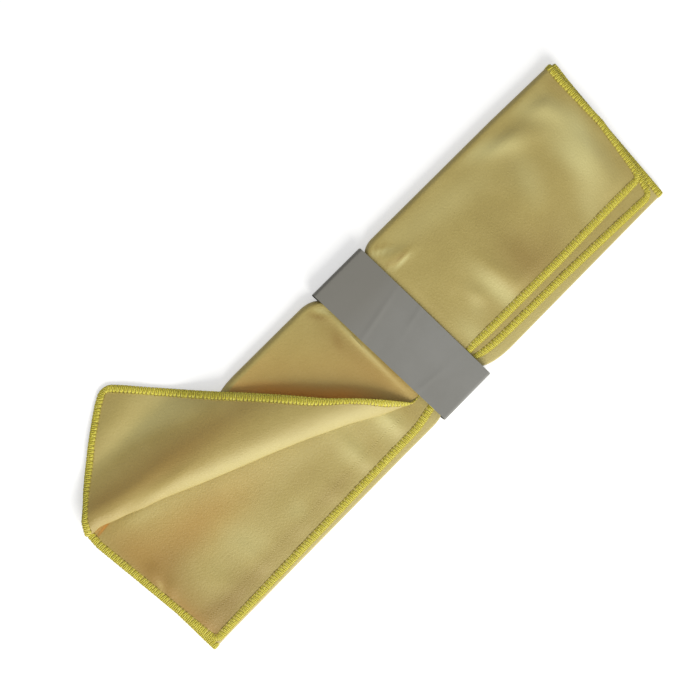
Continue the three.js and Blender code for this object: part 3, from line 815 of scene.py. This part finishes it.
# Overlock stitching: one loop, repeated along a straight line by Geometry Nodes, then laid round the edge.
# Its yarns are places along the edge, inwards from it and above the sheet's middle, in millimetres.
stitch = {
    "pitch": 2.2, "width": 3.7, "seed": 7, "edgeSteps": 19,
    "uneven": {
        "Rotation": ((-0.02, -0.02, -0.09), (0.02, 0.02, 0.09)),
        "Scale": ((0.94, 0.95, 0.96), (1.05, 1.04, 1.04)),
    },
    # Two legs leave the needle line side by side and spread a little at the edge
    "legs": [
        [(-0.22, 3.7, 0.24), (-0.44, 2.22, 0.46), (-0.594, 0.74, 0.46), (-0.66, -0.22, 0.2)],
        [(0.22, 3.7, 0.2), (0.396, 2.22, 0.41), (0.528, 0.74, 0.42), (0.572, -0.22, 0.2)],
    ],
    "needleLine": [(-1.1, 3.7, 0.28), (0.132, 3.84, 0.42), (1.1, 3.7, 0.28)],
    "knot": [(-1.012, -0.22, 0), (-0.22, -0.34, 0), (1.012, -0.22, 0)],
    # Each yarn's radius, number of sides and flattening
    "legYarn": (0.46, 4, 0.8), "needleYarn": (0.25, 4, 1.0), "knotYarn": (0.38, 5, 1.5),
}


def tube(path, radius, sides, flatten, points, faces):
    start, last = len(points), len(path) - 1
    leaningUp = (0.12, 0.05, 1.0)  # no yarn runs along it
    for i, p in enumerate(path):
        ahead = path[min(i + 1, last)] - path[max(i - 1, 0)]
        ahead /= np.linalg.norm(ahead)
        side = np.cross(ahead, leaningUp)
        side /= np.linalg.norm(side)
        up = np.cross(side, ahead)
        for k in range(sides):
            a = 2 * math.pi * k / sides
            points.append(p + radius * (math.cos(a) * side + flatten * math.sin(a) * up))
    for i in range(last):
        for k in range(sides):
            a, b = start + i * sides + k, start + i * sides + (k + 1) % sides
            faces.append((a, b, b + sides, a + sides))
    faces.append(tuple(start + k for k in reversed(range(sides))))
    faces.append(tuple(start + last * sides + k for k in range(sides)))


def stitchLoop():
    points, faces = [], []
    for side in (1, -1):
        facing = np.array((1, 1, side))
        for leg in stitch["legs"]:
            tube(np.array(leg) * facing, *stitch["legYarn"], points, faces)
        tube(np.array(stitch["needleLine"]) * facing, *stitch["needleYarn"], points, faces)
    tube(np.array(stitch["knot"]), *stitch["knotYarn"], points, faces)
    mesh = bpy.data.meshes.new("stitchLoop")
    mesh.from_pydata([tuple(q) for q in points], [], faces)
    bm = bmesh.new()
    bm.from_mesh(mesh)
    bmesh.ops.recalc_face_normals(bm, faces=bm.faces)
    bm.to_mesh(mesh)
    bm.free()
    mesh.shade_smooth()
    return addPiece("stitchLoop", mesh)


def stitchTree():
    tree = bpy.data.node_groups.new("overlockRow", "GeometryNodeTree")
    kinds = {
        "Geometry": "NodeSocketGeometry", "Count": "NodeSocketInt", "Pitch": "NodeSocketFloat",
        "Loop": "NodeSocketObject", "Seed": "NodeSocketInt", "Yarn": "NodeSocketMaterial",
    }
    for name, kind in kinds.items():
        tree.interface.new_socket(name=name, in_out="INPUT", socket_type=kind)
    tree.interface.new_socket(name="Geometry", in_out="OUTPUT", socket_type=kinds["Geometry"])
    given = addNode(tree, "NodeGroupInput").outputs
    step = addNode(tree, "ShaderNodeCombineXYZ", {"X": given["Pitch"]}).outputs[0]
    line = addNode(tree, "GeometryNodeMeshLine", {"Count": given["Count"], "Offset": step})
    loop = addNode(tree, "GeometryNodeObjectInfo", {"Object": given["Loop"]})
    laid = {"Points": line.outputs["Mesh"], "Instance": loop.outputs["Geometry"]}
    for name, (least, most) in stitch["uneven"].items():
        inputs = {"Min": least, "Max": most, "Seed": given["Seed"]}
        drawn = addNode(tree, "FunctionNodeRandomValue", inputs, data_type="FLOAT_VECTOR")
        laid[name] = drawn.outputs["Value"]
    placed = addNode(tree, "GeometryNodeInstanceOnPoints", laid).outputs["Instances"]
    real = addNode(tree, "GeometryNodeRealizeInstances", {"Geometry": placed}).outputs["Geometry"]
    painted = addNode(tree, "GeometryNodeSetMaterial", {"Geometry": real, "Material": given["Yarn"]})
    addNode(tree, "NodeGroupOutput", {"Geometry": painted.outputs["Geometry"]})
    return tree


# The sheet's cut edge as a line: place, and the direction inwards.
# It starts where the crease meets the top layer's free edge.
def edgeLine():
    r = cloth["cornerRadius"]
    left, right, far = leftEnd + r, rightEnd - r, sheetWidth - r
    rows = [(creaseEnd[0], 0.0, 0.0, 1.0), (right, 0.0, 0.0, 1.0)]
    for cu, cv, first in ((right, r, -90), (right, far, 0), (left, far, 90), (left, r, 180)):
        for degrees in np.linspace(first, first + 90, stitch["edgeSteps"]):
            c, s = math.cos(math.radians(degrees)), math.sin(math.radians(degrees))
            rows.append((cu + r * c, cv + r * s, -c, -s))
    rows.append((creaseEnd[0], 0.0, 0.0, 1.0))
    line = np.array(rows)
    steps = np.hypot(np.diff(line[:, 0]), np.diff(line[:, 1]))
    return line, np.concatenate([[0], np.cumsum(steps)])


def overlockPiece(name, fromLength, toLength):
    count = round((toLength - fromLength) / stitch["pitch"])
    step = (toLength - fromLength) / count
    base = addPiece(name, bpy.data.meshes.new(name))
    modifier = base.modifiers.new("overlock", "NODES")
    modifier.node_group = overlockRow
    given = {"Count": count, "Pitch": step, "Loop": oneLoop, "Seed": stitch["seed"], "Yarn": yellowYarn}
    for item in overlockRow.interface.items_tree:
        if item.in_out == "INPUT" and item.name in given:
            modifier[item.identifier] = given[item.name]
    bpy.context.view_layer.update()
    mesh = bpy.data.meshes.new_from_object(base.evaluated_get(bpy.context.evaluated_depsgraph_get()))
    base.modifiers.clear()
    places = np.empty(len(mesh.vertices) * 3, np.float32)
    mesh.vertices.foreach_get("co", places)
    places = places.reshape(-1, 3).astype(float)
    travel = np.clip(places[:, 0] + fromLength + step / 2, 0, edgeLength[-1])
    u, v, inU, inV = (np.interp(travel, edgeLength, column) for column in edgeRow.T)
    inward = places[:, 1] * along(hemShares, travel)
    laid = clothPoints(u + inward * inU, v + inward * inV, places[:, 2])
    mesh.vertices.foreach_set("co", (laid / perMetre).astype(np.float32).ravel())
    layFlat(mesh, "alongEdge", np.stack([travel / perCentimetre, places[:, 1] / stitch["width"]], -1))
    mesh.update()
    base.data = mesh
    mesh.shade_smooth()
    return base


edgeRow, edgeLength = edgeLine()
oneLoop = stitchLoop()
overlockRow = stitchTree()
# The turned part of the edge starts where the crease meets the cut end; the roll has a stretch at each end
edgeEnd = edgeLength[-1]
roundedOff = (2 - math.pi / 2) * cloth["cornerRadius"]
turnedFrom = edgeEnd - (creaseEnd[0] - leftEnd) - (creaseStart[1] - topEdgeY) + roundedOff
rollTo = turnedFrom + creaseStart[1] - topEdgeY - crossedRows(pastRoll, np.array([leftEnd]))[0]
rollFrom = edgeEnd - (creaseEnd[0] - crestEnd)
# Share of the stitches' full width, along the edge: they stand on end where the crease runs out
lowerFrom = rightEnd - creaseEnd[0] + sheetWidth
lowerTo = lowerFrom + cloth["length"]
hemShares = [
    (0, hemTaper["least"]), (hemTaper["after"], 1), (60, 1.18), (180, 1.18), (200, 1),
    (lowerFrom - 10, 1), (lowerFrom + 10, 1.12), (lowerTo - 30, 1.12), (lowerTo, 1),
    (turnedFrom, 1), (turnedFrom + 12, 0.87), (turnedFrom + 80, 0.95), (turnedFrom + 120, 1.08),
    (edgeEnd - hemTaper["before"], 1.25), (edgeEnd, hemTaper["least"]),
]
edgeStitches = overlockPiece("edgeStitches", 0, turnedFrom)
cornerStitches = overlockPiece("cornerStitches", rollTo, rollFrom)
rollStitches = [
    overlockPiece("rollStitchesLeft", turnedFrom, rollTo),
    overlockPiece("rollStitchesRight", rollFrom, edgeEnd),
]
bpy.data.objects.remove(oneLoop)
print("stitching:", len(edgeStitches.data.polygons), "and", len(cornerStitches.data.polygons), "faces")

# Paper band, one strip that overlaps itself underneath
band = {
    "width": 40, "skew": 0.04, "paper": 0.25, "halfWidth": 54.3, "farReach": 2.2, "innerTop": 8.91,
    "lapTop": 0.6, "lapWidth": 14, "corner": 1.7,
    "columns": 33, "underPlaces": 24, "topPlaces": 90, "cornerPlaces": 10,
    "sag": 0.25, "sagWaves": (21, 17), "sagSides": (50, -10), "topFace": (6, 2),
    "creases": [(-4, 20, 40, 11, 1.5, 0.28), (13, 4, 22, 12, 1.3, 0.2), (-10, -30, 26, -6, 1.6, 0.16)],
}


def bandOutline(offset):
    side, top, r = band["halfWidth"] + offset, band["innerTop"] + offset, band["corner"] + offset
    innerLap, outerLap = band["lapTop"] - offset, band["paper"] - offset
    near, far, lap = -side + r, side + band["farReach"] - r, band["lapWidth"] / 2
    rows = [(y, innerLap) for y in np.linspace(-lap, far, band["underPlaces"])]
    arcs = ((far, innerLap + r, -90), (far, top - r, 0), (near, top - r, 90), (near, outerLap + r, 180))
    for cy, cz, first in arcs:
        if first == 90:
            rows += [(y, top) for y in np.linspace(far, near, band["topPlaces"])[1:-1]]
        for degrees in np.linspace(first, first + 90, band["cornerPlaces"]):
            rows.append((cy + r * math.cos(math.radians(degrees)), cz + r * math.sin(math.radians(degrees))))
    rows += [(y, outerLap) for y in np.linspace(near, lap, band["underPlaces"])[1:]]
    return np.array(rows)


def paperBand():
    outlines = np.stack([bandOutline(band["paper"]), bandOutline(0)])
    across = np.linspace(-band["width"] / 2, band["width"] / 2, band["columns"])
    x, y, z = np.broadcast_arrays(across[None, :, None], outlines[:, None, :, 0], outlines[:, None, :, 1])
    onTop = fade(z, *band["topFace"])
    # The paper dips a little between its edges and where it was flattened
    waves = 0.5 + 0.5 * np.cos(y / band["sagWaves"][1] + x / band["sagWaves"][0])
    dip = band["sag"] * onTop * waves * fade(np.abs(y), *band["sagSides"])
    crease = ridgeHeight(x, y, band["creases"]) * onTop
    points = np.stack([x - band["skew"] * y, y, z - dip + crease], -1).reshape(-1, 3)
    return meshPiece("paperWrap", points, shellFaces(len(across), outlines.shape[1]), plainPaper)


wrap = paperBand()
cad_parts["band_glue"].data.materials.clear()
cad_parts["band_glue"].data.materials.append(dryGlue)
print("paper band:", len(wrap.data.polygons), "faces")

# Floor, light and camera, in metres
studio = {
    "floorHalf": 3, "white": 0.5, "world": 0.36,
    "floorFinish": {
        "Base Color": (0.75, 0.75, 0.75, 1), "Roughness": 0.9, "Specular IOR Level": 0.1,
        "Emission Color": (1, 1, 1, 1),
    },
    "key": 27, "keyColour": (1, 0.985, 0.95), "keySize": 0.9,
    "keyFrom": (-0.55, -1.2, 0.85), "keyAim": (-0.03, 0.02, 0),
}
# The camera's place and turns, in degrees, with its focal length in pixels of a square picture
view = {
    "place": (-0.075, 0.0977, 0.602), "turns": (("Z", 0.048), ("Y", 4.351), ("X", 7.685)),
    "focal": 1000, "picture": 700, "sensor": 36, "nearest": 0.01,
}


# One where a place is looked at, straight or in a gloss, and none where it lights the cloth
def lookedAt(tree):
    path = addNode(tree, "ShaderNodeLightPath").outputs
    seen = path["Is Camera Ray"]
    for ray in ("Is Glossy Ray", "Is Transmission Ray"):
        seen = maths(tree, "MAXIMUM", seen, path[ray])
    return seen


def studioFloor():
    half = studio["floorHalf"]
    mesh = bpy.data.meshes.new("studioFloor")
    places = [(-half, -half, 0), (half, -half, 0), (half, half, 0), (-half, half, 0)]
    mesh.from_pydata(places, [], [(0, 1, 2, 3)])
    material, tree, shader = makeMaterial("paleFloor", studio["floorFinish"])
    seen = maths(tree, "MULTIPLY", lookedAt(tree), studio["white"])
    tree.links.new(seen, shader.inputs["Emission Strength"])
    mesh.materials.append(material)
    return addPiece("studioFloor", mesh)


def studioLight():
    world = bpy.data.worlds.new("softRoom")
    scene.world = world
    world.use_nodes = True
    tree = world.node_tree
    background = tree.nodes["Background"].inputs
    background["Color"].default_value = (1, 1, 1, 1)
    # The room looks white behind the floor and lights the cloth at a plain level
    level = mapRange(tree, lookedAt(tree), (0, 1), (studio["world"], 1))
    tree.links.new(level, background["Strength"])
    lamp = bpy.data.lights.new("keyLight", "AREA")
    lamp.energy = studio["key"]
    lamp.size = studio["keySize"]
    lamp.color = studio["keyColour"]
    key = addPiece("keyLight", lamp)
    key.location = studio["keyFrom"]
    aim = Vector(studio["keyAim"]) - Vector(studio["keyFrom"])
    key.rotation_euler = aim.to_track_quat("-Z", "Y").to_euler()


# It looks down on the strip, which lies along the picture's diagonal
def photoCamera():
    turn = Matrix.Identity(3)
    for axis, degrees in view["turns"]:
        turn = turn @ Matrix.Rotation(math.radians(degrees), 3, axis)
    right, up, back = Vector(turn[0]), Vector(turn[1]), Vector(turn[2])
    diagonal = math.sqrt(0.5)
    placed = Matrix(((right - up) * diagonal, (right + up) * diagonal, back)).transposed().to_4x4()
    placed.translation = view["place"]
    lens = bpy.data.cameras.new("photoCamera")
    lens.sensor_width = view["sensor"]
    lens.lens = view["sensor"] * view["focal"] / view["picture"]
    lens.clip_start = view["nearest"]
    camera = addPiece("photoCamera", lens)
    camera.matrix_world = placed
    scene.camera = camera


floor = studioFloor()
studioLight()
photoCamera()
scene.view_settings.view_transform = "Standard"
print("studio set")

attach(sheet, "cloth")
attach(edgeStitches, "cloth")
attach(wrap, "band")
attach(flap, "corner")
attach(cornerStitches, "corner")
for piece in (roll, *rollStitches):
    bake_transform(piece)
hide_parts("cloth_sheet")
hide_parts("upper_looper_thread", "lower_looper_thread", "needle_thread")
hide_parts("corner_flap")
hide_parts("corner_upper_looper_thread", "corner_lower_looper_thread",
            "corner_needle_thread")
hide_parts("paper_band")

print("pieces placed")
